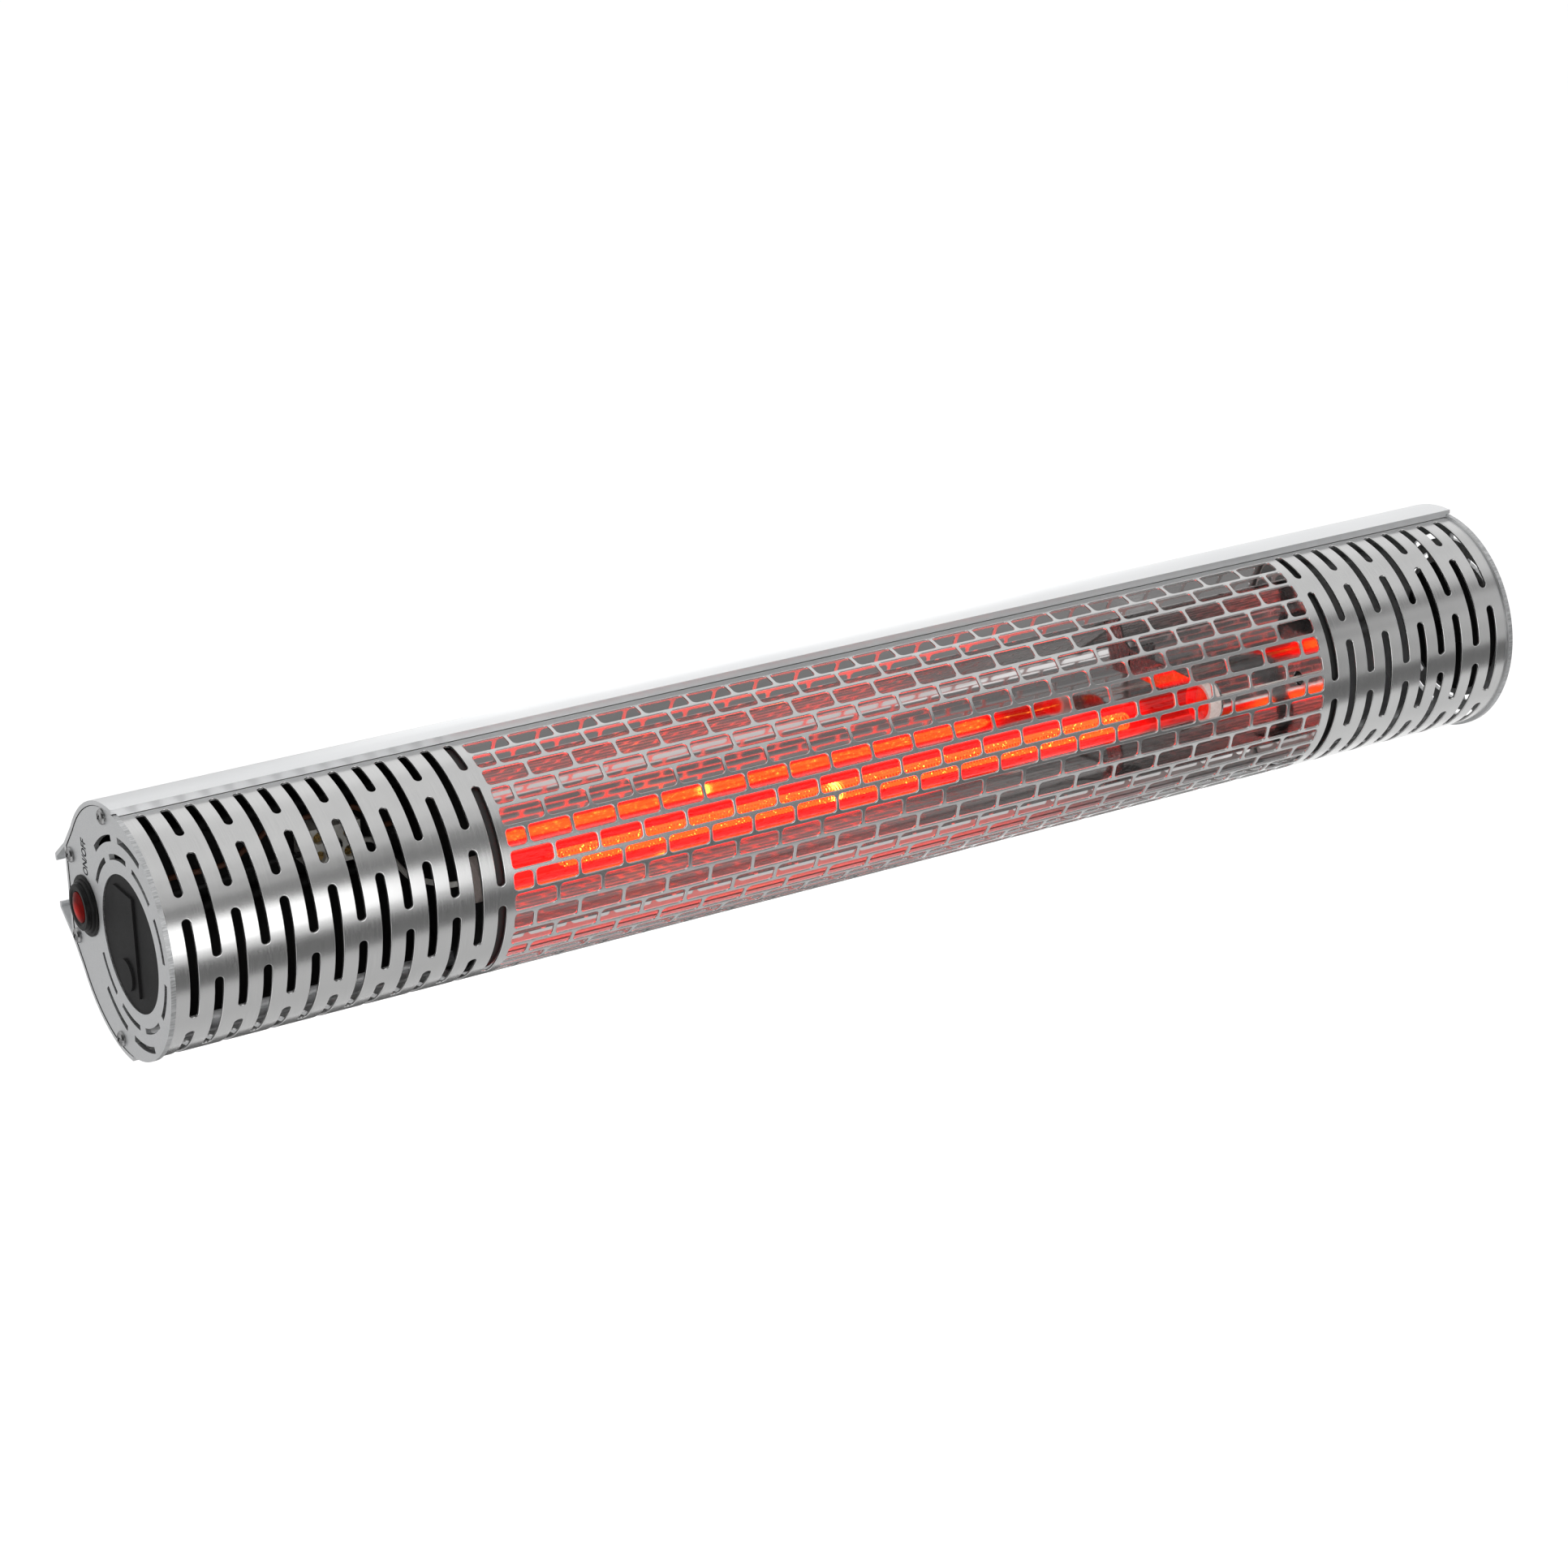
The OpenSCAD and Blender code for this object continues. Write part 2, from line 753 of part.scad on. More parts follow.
// A terminal block on the rear wall, open at the front above each screw.
module terminal_block(span, poles, fixing) {
    half = poles * pole_pitch / 2;
    at_axis() difference() {
        translate([span[0], block_front, -half])
            cube([span[1] - span[0], rear_inner - block_front, 2 * half]);
        for (x = [span[0] + 6, span[1] - 6], i = [0 : poles - 1])
            rod_y(x, block_front - 1, 6, (i - (poles - 1) / 2) * pole_pitch, 3.2);
        for (i = [0 : poles - 1])
            translate([0, entry_y, (i - (poles - 1) / 2) * pole_pitch])
                for (x = [span[0] - 1, span[1] - lead_end_l])
                    rod_x(x, lead_end_l + 1, lead_r + 0.4);
        rod_y(fixing[0], block_front - 1, 30, fixing[1], shank_r + 0.2);
    }
}

module terminal_screws(span, poles) {
    at_axis() for (x = [span[0] + 6, span[1] - 6], i = [0 : poles - 1])
        translate([x, block_front + 2, (i - (poles - 1) / 2) * pole_pitch])
            difference() {
                rod_y(0, 0, 3, 0, 2.6);
                translate([-3, -1, -0.4]) cube([6, 2, 0.8]);
            }
}

module lamp_terminal() {
    color("ivory") terminal_block(lamp_block_x, 2, lamp_fixing);
}

module lamp_terminal_screws() {
    color("khaki") terminal_screws(lamp_block_x, 2);
}

module supply_terminal() {
    color("whitesmoke") terminal_block(supply_block_x, 3, supply_fixing);
}

module supply_terminal_screws() {
    color("khaki") terminal_screws(supply_block_x, 3);
}

// One screw through each terminal block into the rear wall.
module terminal_fixings() {
    color("gainsboro") at_axis() for (p = [lamp_fixing, supply_fixing])
        translate([p[0], block_front, p[1]]) rotate([0, 0, -90])
            pan_screw(rear_flat - block_front);
}

// A screw into the rear wall that clamps the earth tag.
module earth_screw() {
    color("khaki") at_axis() translate([earth_x, rear_inner - 1, 0])
        rotate([0, 0, -90]) pan_screw(3.2);
}

module earth_tag() {
    color("gainsboro") at_axis() difference() {
        union() {
            rod_y(earth_x, rear_inner - 1, 1, 0, 4.5);
            translate([earth_x - tag_l, rear_inner - 1, -2]) cube([tag_l, 1, 4]);
        }
        rod_y(earth_x, rear_inner - 3, 5, 0, shank_r + 0.1);
    }
}

module at_gland() {
    at_axis() translate([gland_x, cap_y, 0]) children();
}

module gland_body() {
    color("black") at_gland() difference() {
        union() {
            rotate([0, 90, 0]) cylinder(h = 5, r = 12.5, $fn = 6);
            rod_x(-12, 12, gland_thread_r);
            rod_x(5, 8, gland_thread_r);
        }
        rod_x(-13, 19, gland_bore_r);
        rod_x(5.5, 10, 6.6);
    }
}

module gland_seal() {
    color("dimgray") at_gland() difference() {
        rod_x(5.5, 8.5, 6.5);
        rod_x(4, 12, gland_bore_r);
    }
}

module gland_cap() {
    color("black") at_gland() difference() {
        turned_x([[0, 6], [10.5, 6], [10.5, 13], [8.5, 16], [0, 16]]);
        rod_x(5, 8.2, gland_thread_r + 0.1);
        rod_x(4, 10, 6.6);
        rod_x(4, 20, gland_bore_r);
    }
}

module gland_locknut() {
    nut_t = 3;
    back = plate_t - cap_sink + 1.8;
    color("black") at_gland() translate([-back - nut_t, 0, 0]) difference() {
        rotate([0, 90, 0]) cylinder(h = nut_t, r = 12.5, $fn = 6);
        rod_x(-1, nut_t + 2, gland_thread_r + 0.05);
    }
}

// Wires, each in its own sleeve, laid behind the trough.
module feed_wire() {
    color("saddlebrown") wire([
        [supply_block_x[0] + lead_end_l, entry_y, pole_pitch], [288, entry_y, pole_pitch],
        [276, wire_y, 1.6], [-236, wire_y, 1.6], [-246, wire_y, 15],
        [-290, wire_y, 15], [-320, switch_back, 4], [tab_end_x, switch_back, 4]
    ]);
}

module switched_wire() {
    color("black") wire([
        [tab_end_x, switch_back, -4], [-330, switch_back, -4],
        [-296, entry_y, -pole_pitch / 2],
        [lamp_block_x[0] + lead_end_l, entry_y, -pole_pitch / 2]
    ]);
}

module lamp_lead_left() {
    color("white") wire([
        [lamp_block_x[1] - lead_end_l, entry_y, -pole_pitch / 2],
        [-238, entry_y, -pole_pitch / 2], [-238, 10, -12],
        [-238, -lamp_front, 0], [lamp_x0, -lamp_front, 0]
    ]);
}

module lamp_lead_right() {
    color("white") wire([
        [lamp_x1, -lamp_front, 0], [280, -lamp_front, 0], [284, 10, -14],
        [284, entry_y, -pole_pitch],
        [supply_block_x[0] + lead_end_l, entry_y, -pole_pitch]
    ]);
}

module earth_wire() {
    color("green") wire([
        [supply_block_x[1] - lead_end_l, entry_y, 0], [328, entry_y, 0],
        [332, rear_inner - lead_r - 0.1, 0], [earth_x - tag_l - 0.1, rear_inner - lead_r - 0.1, 0]
    ]);
}

rear_shell();
front_grille();
left_end_plate();
right_end_plate();
left_plate_screws();
right_plate_screws();
left_end_cap();
right_end_cap();
reflector();
left_end_reflector();
right_end_reflector();
left_bulkhead();
right_bulkhead();
bulkhead_screws();
wire_grommets();
lamp_glass();
lamp_filament();
lamp_base_left();
lamp_base_right();
lamp_bracket();
bracket_rivets();
switch_boot();
switch_body();
switch_button();
switch_spring();
switch_nut();
switch_tabs();
lamp_terminal();
lamp_terminal_screws();
supply_terminal();
supply_terminal_screws();
terminal_fixings();
earth_screw();
earth_tag();
gland_body();
gland_seal();
gland_cap();
gland_locknut();
feed_wire();
switched_wire();
lamp_lead_left();
lamp_lead_right();
earth_wire();
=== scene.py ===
import math

import bpy
import numpy as np
from mathutils import Matrix, Vector
from mathutils.geometry import delaunay_2d_cdt


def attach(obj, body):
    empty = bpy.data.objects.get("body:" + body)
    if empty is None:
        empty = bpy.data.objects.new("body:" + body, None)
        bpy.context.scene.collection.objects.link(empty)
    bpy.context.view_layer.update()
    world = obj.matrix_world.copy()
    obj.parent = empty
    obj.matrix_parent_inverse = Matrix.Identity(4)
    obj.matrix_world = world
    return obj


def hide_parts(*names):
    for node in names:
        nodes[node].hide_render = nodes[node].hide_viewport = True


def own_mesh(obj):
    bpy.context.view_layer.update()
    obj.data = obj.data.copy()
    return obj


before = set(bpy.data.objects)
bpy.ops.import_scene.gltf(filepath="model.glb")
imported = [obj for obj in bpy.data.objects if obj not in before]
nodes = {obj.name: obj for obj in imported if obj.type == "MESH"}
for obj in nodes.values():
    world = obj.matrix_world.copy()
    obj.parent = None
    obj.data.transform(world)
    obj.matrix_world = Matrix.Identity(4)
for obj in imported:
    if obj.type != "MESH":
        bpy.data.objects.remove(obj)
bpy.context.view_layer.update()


# ---- Perforated front -------------------------------------------------------
# One sheet of 1 mm stainless steel, punched with slots at both ends and sixteen
# rows of bricks between them, brushed round the tube and slid into the two lips
# of the rear shell. The punched edges are slightly rounded.

# Sizes are in millimetres from the tube's axis. The frame's origin is the mouth
# of the mounting channel, 77 mm behind that axis.
MM = 0.001
AXIS_BACK = 77.0
GRILLE_R = 59.5
SHEET = 1.0
HALF_SHEET = 388.6
EDGE_BACK = 4.0
EDGE_ANGLE = 90 + math.degrees(math.asin(EDGE_BACK / GRILLE_R))
ARC_PER_DEGREE = GRILLE_R * math.pi / 180
ROUNDING = 0.5
FIRST_SLOT, SLOT_PITCH, SLOT_HALF_WIDTH = 379.0, 12.0, 2.05
LEFT_SLOTS, RIGHT_SLOTS = 14, 10


def node_adder(tree):
    """A short way to add nodes: keys in small letters are settings, the rest sockets."""

    def add(kind, **given):
        node = tree.nodes.new(kind)
        for key, value in given.items():
            if key[0].islower():
                setattr(node, key, value)
                continue
            socket = node.inputs[int(key[1:]) if key[0] == "_" else key.replace("_", " ")]
            if isinstance(value, bpy.types.NodeSocket):
                tree.links.new(value, socket)
            else:
                socket.default_value = value
        return node

    return add


def start_finish(name):
    """An empty material: a way to add its nodes, and a way to end it with a shader."""
    material = bpy.data.materials.new(name)
    material.use_nodes = True
    tree = material.node_tree
    tree.nodes.clear()
    out = tree.nodes.new("ShaderNodeOutputMaterial")

    def finish(shader):
        tree.links.new(shader.outputs[0], out.inputs[0])
        return material

    return node_adder(tree), finish


def maths(add, operation, first, second=0.0):
    return add("ShaderNodeMath", operation=operation, _0=first, _1=second).outputs[0]


def distance(add, first, second):
    squares = [maths(add, "MULTIPLY", side, side) for side in (first, second)]
    return maths(add, "SQRT", maths(add, "ADD", *squares))


def own_place(add):
    """Position in metres on the object itself."""
    return add("ShaderNodeTexCoord").outputs["Object"]


def split(add, vector):
    return add("ShaderNodeSeparateXYZ", Vector=vector).outputs


def stretched_noise(add, scale, detail=3.0, place=None):
    """Noise with so many waves a metre along X, Y and Z."""
    if place is None:
        place = own_place(add)
    pull = add("ShaderNodeMapping", Vector=place, Scale=scale)
    return add("ShaderNodeTexNoise", Vector=pull.outputs[0], Scale=1.0, Detail=detail).outputs[0]


def round_the_tube(add):
    """Position as (x, angle round the tube, radius), so grain can follow the sheet."""
    along, y, up = split(add, own_place(add))
    back = maths(add, "ADD", y, AXIS_BACK * MM)
    angle = maths(add, "ARCTAN2", up, back)
    radius = distance(add, back, up)
    return add("ShaderNodeCombineXYZ", _0=along, _1=angle, _2=radius).outputs[0]


def change(add, value, start, end, first, last):
    """A level that goes from first to last while the value goes from start to end."""
    return add("ShaderNodeMapRange", _0=value, _1=start, _2=end, _3=first, _4=last).outputs[0]


# Most of a noise lies between these two levels.
NOISE_LOW, NOISE_HIGH = 0.3, 0.7


def between(add, noise, low, high):
    return change(add, noise, NOISE_LOW, NOISE_HIGH, low, high)


def tint(add, noise, dark, light):
    ramp = add("ShaderNodeValToRGB", Fac=noise)
    stops = ((NOISE_LOW, dark), (NOISE_HIGH, light))
    for stop, (position, colour) in zip(ramp.color_ramp.elements, stops):
        stop.position = position
        stop.color = (*colour, 1)
    return ramp.outputs[0]


def brushed_stainless():
    add, finish = start_finish("brushed_stainless")
    place = round_the_tube(add)
    grain = stretched_noise(add, (2600, 3, 1), 4.0, place)
    clouds = stretched_noise(add, (14, 5, 5), 2.0)
    mottle = maths(add, "MULTIPLY", maths(add, "ADD", clouds, grain), 0.5)
    radius = split(add, place)[2]
    inner_face = GRILLE_R - SHEET
    dull_inside = change(add, radius, (inner_face + 0.1) * MM, (inner_face + 0.3) * MM, 0.3, 0.0)
    return finish(add(
        "ShaderNodeBsdfPrincipled",
        Base_Color=tint(add, mottle, (0.59, 0.59, 0.59), (0.67, 0.67, 0.665)),
        Metallic=1.0,
        Roughness=maths(add, "ADD", between(add, grain, 0.19, 0.25), dull_inside),
    ))


def slot_windows():
    """Centre, half size and corner of each slot: columns step in from both ends."""
    span, gap, last = 48.5, 10.0, 83.7
    half = SLOT_HALF_WIDTH
    found = []
    for columns, side in ((LEFT_SLOTS, -1), (RIGHT_SLOTS, 1)):
        for column in range(columns):
            x = side * (FIRST_SLOT - SLOT_PITCH * column)
            if column % 2 == 0:
                angles = [(-span / 2, span / 2), (span / 2 + gap, last)]
            else:
                angles = [(gap / 2, gap / 2 + span), (gap / 2 + span + gap, last)]
            for low, high in angles:
                middle = (low + high) / 2 * ARC_PER_DEGREE
                reach = (high - low) / 2 * ARC_PER_DEGREE
                for up in (1, -1) if low > 0 else (1,):
                    found.append((x, up * middle, half, reach, half))
    return found


def brick_windows():
    """Sixteen rows, every other one shifted by half a brick; one brick a row is long."""
    pitch, width, height, extra, corner = 23.93, 21.85, 8.6, 2.7, 2.0
    columns, rows, row_angle, after_slots = 20, 16, 10.3, 7
    bar = pitch - width
    half_brick = (width - bar) / 2
    left = -FIRST_SLOT + (LEFT_SLOTS - 1) * SLOT_PITCH + after_slots
    right = left + columns * pitch - bar + extra
    found = []
    for row in range(rows):
        s = ((rows - 1) / 2 - row) * row_angle * ARC_PER_DEGREE
        if row % 2 == 0:
            start, count, long_one, ends = left, columns, 4, []
        else:
            start, count, long_one = left + half_brick + bar, columns - 1, 14
            ends = [(left, half_brick), (right - half_brick, half_brick)]
        spans = []
        for i in range(count):
            x = start + i * pitch + (extra if i > long_one else 0)
            spans.append((x, width + (extra if i == long_one else 0)))
        found += [(x + w / 2, s, w / 2, height / 2, corner) for x, w in spans + ends]
    return found


def window_outline(window):
    """Points and outward normals round a window with rounded corners."""
    x, s, hx, hs, corner = window
    turns = 6 if hx <= corner else 4
    longest_round, longest_along = 2.3, 5.5
    rim = []
    for quarter in range(4):
        cx = (hx - corner) * (1 if quarter in (0, 3) else -1)
        cs = (hs - corner) * (1 if quarter in (0, 1) else -1)
        for k in range(turns + 1):
            a = (quarter + k / turns) * math.pi / 2
            out = math.cos(a), math.sin(a)
            rim.append((x + cx + corner * out[0], s + cs + corner * out[1], *out))
    dense = []
    for point, after in zip(rim, rim[1:] + rim[:1]):
        far = math.hypot(after[0] - point[0], after[1] - point[1])
        if far < 1e-6:
            continue
        upright = abs(after[0] - point[0]) < 1e-6
        pieces = max(1, math.ceil(far / (longest_round if upright else longest_along)))
        for k in range(pieces):
            t = k / pieces
            dense.append(tuple(point[n] * (1 - t) + after[n] * t for n in range(4)))
    return np.array(dense)


def bent(flat, radius):
    """Points of the flat sheet rolled to a radius, in metres, and their outward normals."""
    angle = flat[:, 1] / GRILLE_R
    out = np.stack([np.zeros_like(angle), -np.cos(angle), np.sin(angle)], axis=1)
    spot = out * radius
    spot[:, 0] = flat[:, 0]
    spot[:, 1] -= AXIS_BACK
    return spot * MM, out


def punched_sheet():
    windows = slot_windows() + brick_windows()
    table = np.array(windows)
    edge = EDGE_ANGLE * ARC_PER_DEGREE
    grid_columns, grid_rows, grid_room = 141, 85, 1.4

    def clear_of_windows(x, s, room):
        qx = np.abs(x[:, None] - table[:, 0]) - (table[:, 2] - table[:, 4])
        qs = np.abs(s[:, None] - table[:, 1]) - (table[:, 3] - table[:, 4])
        away = np.hypot(np.maximum(qx, 0), np.maximum(qs, 0)) + np.minimum(np.maximum(qx, qs), 0)
        return (away - table[:, 4]).min(axis=1) > room

    # The outer face starts where the rounding ends, the inner face at the window.
    outer_flat, inner_flat, outlines, rims = [], [], [], []
    for window in windows:
        rim = window_outline(window)
        start = len(outer_flat)
        outlines.append(list(range(start, start + len(rim))))
        rims.append(rim)
        inner_flat += [tuple(p[:2]) for p in rim]
        outer_flat += [tuple(p[:2] + ROUNDING * p[2:]) for p in rim]
    columns = np.linspace(-HALF_SHEET, HALF_SHEET, grid_columns)
    rows = np.linspace(-edge, edge, grid_rows)
    border = (
        [(x, -edge) for x in columns[:-1]]
        + [(HALF_SHEET, s) for s in rows[:-1]]
        + [(x, edge) for x in columns[:0:-1]]
        + [(-HALF_SHEET, s) for s in rows[:0:-1]]
    )
    border_ids = list(range(len(outer_flat), len(outer_flat) + len(border)))
    gx, gs = (part.ravel() for part in np.meshgrid(columns[1:-1], rows[1:-1]))
    keep = clear_of_windows(gx, gs, grid_room)
    filling = border + list(zip(gx[keep], gs[keep]))
    outer_flat += filling
    inner_flat += filling

    edges = [(a, b) for loop in outlines + [border_ids] for a, b in zip(loop, loop[1:] + loop[:1])]
    points, _, faces, origin, _, _ = delaunay_2d_cdt(
        [Vector(p) for p in outer_flat], edges, [], 0, 1e-7, True
    )
    place = {source: i for i, sources in enumerate(origin) for source in sources}
    points = np.array(points)
    faces = np.array(faces)
    centre = points[faces].mean(axis=1)
    faces = faces[clear_of_windows(centre[:, 0], centre[:, 1], ROUNDING)]
    inner_points = points.copy()
    for source, spot in enumerate(inner_flat):
        inner_points[place[source]] = spot

    outer, out_normal = bent(points, GRILLE_R)
    inner, _ = bent(inner_points, GRILLE_R - SHEET)
    count = len(points)
    verts = [outer, inner]
    all_faces = [tuple(f) for f in faces] + [(a + count, c + count, b + count) for a, b, c in faces]
    normals = [out_normal[faces].reshape(-1, 3), -out_normal[faces[:, [0, 2, 1]]].reshape(-1, 3)]
    base = 2 * count
    for loop, rim in zip(outlines, rims):
        ids = np.array([place[i] for i in loop])
        wall, _ = bent(rim[:, :2], GRILLE_R - ROUNDING)
        angle = rim[:, 1] / GRILLE_R
        into = -np.stack([rim[:, 2], rim[:, 3] * np.sin(angle), rim[:, 3] * np.cos(angle)], axis=1)
        verts.append(wall)
        mid = np.arange(base, base + len(loop))
        base += len(loop)
        tops = out_normal[ids]
        for i, j in enumerate(np.roll(np.arange(len(loop)), -1)):
            all_faces.append((ids[i], ids[j], mid[j], mid[i]))
            normals.append(np.stack([tops[i], tops[j], into[j], into[i]]))
            all_faces.append((mid[i], mid[j], ids[j] + count, ids[i] + count))
            normals.append(np.stack([into[i], into[j], into[j], into[i]]))
    ring = [place[i] for i in border_ids]
    for a, b in zip(ring, ring[1:] + ring[:1]):
        all_faces.append((a, a + count, b + count, b))
        across = points[b] - points[a]
        angle = (points[a][1] + points[b][1]) / 2 / GRILLE_R
        side = np.array([across[1], -across[0] * math.sin(angle), -across[0] * math.cos(angle)])
        normals.append(np.tile(side / np.linalg.norm(side), (4, 1)))

    mesh = bpy.data.meshes.new("punched_front")
    faces_as_ints = [tuple(int(i) for i in face) for face in all_faces]
    mesh.from_pydata(np.concatenate(verts).tolist(), [], faces_as_ints)
    mesh.polygons.foreach_set("use_smooth", [True] * len(mesh.polygons))
    mesh.normals_split_custom_set(np.concatenate(normals).tolist())
    mesh.materials.append(brushed_stainless())
    sheet = bpy.data.objects.new("punched_front", mesh)
    bpy.context.scene.collection.objects.link(sheet)
    return sheet


front = punched_sheet()
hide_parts("front_grille")
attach(front, "heater")


# ---- Rear shell -------------------------------------------------------------
# The long aluminium extrusion that everything is fixed to: round wall, flat back
# with the mounting channel, lips for the sheet. Satin anodised, with the faint
# lines of the die along it. Its inside carries painted shade, deepest at the left.

INNER_R = 61.4
LIP_BACK, FLAT_BACK = 6.2, 60.8
SLOPE_REACH, SLOPE_UP = 85.5, 34.0
# The painted shade inside the tube is deepest at the first place and lightest at the second, in
# millimetres along the tube.
PAINTED_SHADE_LEFT, PAINTED_SHADE_RIGHT = -250.0, 350.0


def dress(name, material):
    piece = nodes[name]
    piece.data.materials.clear()
    piece.data.materials.append(material)


def relief(add, height, strength, depth=0.0002):
    return add("ShaderNodeBump", Strength=strength, Distance=depth, Height=height).outputs[0]


def mixed_colour(add, factor, first, second):
    return add("ShaderNodeMix", data_type="RGBA", Factor=factor, _6=first, _7=second).outputs[2]


def lengthwise(add):
    """How squarely a face looks along the tube, from 0 to 1."""
    normal = add("ShaderNodeNewGeometry").outputs["True Normal"]
    return maths(add, "ABSOLUTE", split(add, normal)[0])


def inside_the_shell(add):
    """1 on the faces that look into the tube; 0 on its outside, lips and ends."""
    y, z = split(add, own_place(add))[1:3]
    height = maths(add, "ABSOLUTE", z)
    in_round = maths(add, "LESS_THAN", split(add, round_the_tube(add))[2], INNER_R * MM)
    slope = maths(add, "ADD", y, height)
    in_slope = maths(add, "LESS_THAN", slope, (SLOPE_REACH - AXIS_BACK) * MM)
    by_back = maths(add, "MULTIPLY", in_slope, maths(add, "LESS_THAN", height, SLOPE_UP * MM))
    ahead = maths(add, "LESS_THAN", y, (FLAT_BACK - AXIS_BACK) * MM)
    past_lips = maths(add, "GREATER_THAN", y, (LIP_BACK - AXIS_BACK) * MM)
    not_end = maths(add, "LESS_THAN", lengthwise(add), 0.5)
    hollow = maths(add, "MULTIPLY", maths(add, "MAXIMUM", in_round, by_back), not_end)
    return maths(add, "MULTIPLY", maths(add, "MULTIPLY", ahead, past_lips), hollow)


def satin_extrusion():
    add, finish = start_finish("satin_extrusion")
    lines = stretched_noise(add, (1.5, 1300, 1300), 4.0)
    clouds = stretched_noise(add, (9, 14, 14), 2.0)
    # Painted shade: the faces inside the tube are mixed towards near black, fully at the left and
    # to 45 percent at the right.
    inside = inside_the_shell(add)
    along = split(add, own_place(add))[0]
    dark = change(add, along, PAINTED_SHADE_LEFT * MM, PAINTED_SHADE_RIGHT * MM, 1.0, 0.45)
    anodised = tint(add, clouds, (0.76, 0.77, 0.78), (0.82, 0.825, 0.83))
    dull_inside = maths(add, "MULTIPLY", inside, 0.20)
    return finish(add(
        "ShaderNodeBsdfPrincipled",
        Base_Color=mixed_colour(
            add, maths(add, "MULTIPLY", inside, dark), anodised, (0.035, 0.034, 0.034, 1)
        ),
        Metallic=1.0,
        Roughness=maths(add, "ADD", between(add, lines, 0.40, 0.48), dull_inside),
        Normal=relief(add, lines, 0.05, 0.0003),
    ))


dress("rear_shell", satin_extrusion())


# ---- End plates -------------------------------------------------------------
# Die-cut aluminium plates, blasted and anodised, held in the ends of the shell by
# four screws each. Their cut edges keep the short marks of the tool.

def blasted_plate():
    add, finish = start_finish("blasted_plate")
    grit = stretched_noise(add, (2200, 2200, 2200), 2.0)
    marks = stretched_noise(add, (160, 70, 1), 3.0, round_the_tube(add))
    flat = maths(add, "GREATER_THAN", lengthwise(add), 0.7)
    edge = maths(add, "SUBTRACT", 1.0, flat)
    streak = maths(add, "MULTIPLY", maths(add, "MULTIPLY", marks, edge), 3.0)
    height = maths(add, "ADD", maths(add, "MULTIPLY", grit, 0.25), streak)
    face = tint(add, grit, (0.70, 0.71, 0.72), (0.80, 0.805, 0.81))
    cut = tint(add, marks, (0.36, 0.365, 0.37), (0.66, 0.665, 0.67))
    return finish(add(
        "ShaderNodeBsdfPrincipled",
        Base_Color=mixed_colour(add, edge, face, cut),
        Metallic=1.0,
        Roughness=between(add, grit, 0.40, 0.50),
        Normal=relief(add, height, 0.25, 0.0003),
    ))


plate_finish = blasted_plate()
dress("left_end_plate", plate_finish)
dress("right_end_plate", plate_finish)


# ---- Screws and small bright fasteners --------------------------------------
# Zinc-plated steel: cross-recess pan heads, rivets, the lamp's bracket and the
# earth tag.

def zinc_plate():
    add, finish = start_finish("zinc_plate")
    spots = stretched_noise(add, (500, 500, 500), 3.0)
    return finish(add(
        "ShaderNodeBsdfPrincipled",
        Base_Color=tint(add, spots, (0.26, 0.26, 0.265), (0.38, 0.38, 0.38)),
        Metallic=1.0,
        Roughness=between(add, spots, 0.18, 0.30),
        Normal=relief(add, spots, 0.08),
    ))


zinc = zinc_plate()
for name in (
    "left_plate_screws", "right_plate_screws", "bulkhead_screws", "terminal_fixings",
    "lamp_bracket", "bracket_rivets", "earth_tag",
):
    dress(name, zinc)


# ---- Caps and black mouldings -----------------------------------------------
# Glass-filled black plastic with a fine spark-eroded texture: both end caps, the
# switch's body and nut, and the cable gland.

def eroded_plastic():
    add, finish = start_finish("eroded_plastic")
    pits = stretched_noise(add, (3200, 3200, 3200), 2.0)
    clouds = stretched_noise(add, (60, 60, 60), 2.0)
    return finish(add(
        "ShaderNodeBsdfPrincipled",
        Base_Color=tint(add, clouds, (0.009, 0.009, 0.0095), (0.014, 0.014, 0.0145)),
        Roughness=between(add, pits, 0.46, 0.60),
        Specular_IOR_Level=0.16,
        Normal=relief(add, pits, 0.30),
    ))


black_plastic = eroded_plastic()
for name in (
    "left_end_cap", "right_end_cap", "switch_body", "switch_nut",
    "gland_body", "gland_cap", "gland_locknut",
):
    dress(name, black_plastic)


# ---- Rubber parts -----------------------------------------------------------
# Soft black mouldings: the switch's boot, the gland's seal and the grommets that
# line the wire holes.

def soft_rubber():
    add, finish = start_finish("soft_rubber")
    bloom = stretched_noise(add, (240, 240, 240), 3.0)
    return finish(add(
        "ShaderNodeBsdfPrincipled",
        Base_Color=tint(add, bloom, (0.006, 0.006, 0.006), (0.011, 0.011, 0.011)),
        Roughness=between(add, bloom, 0.28, 0.40),
        Specular_IOR_Level=0.12,
        Normal=relief(add, bloom, 0.06),
    ))


rubber = soft_rubber()
for name in ("switch_boot", "gland_seal", "wire_grommets"):
    dress(name, rubber)


# ---- Push button ------------------------------------------------------------
# A domed lens of red acrylic with a small lamp behind it, so its middle is
# brighter than its rim. It slides in the switch's body against a spring.

SWITCH_BACK = 40.0
LENS_LAMP_DOWN, LENS_GLOW_R = 2.0, 5.5


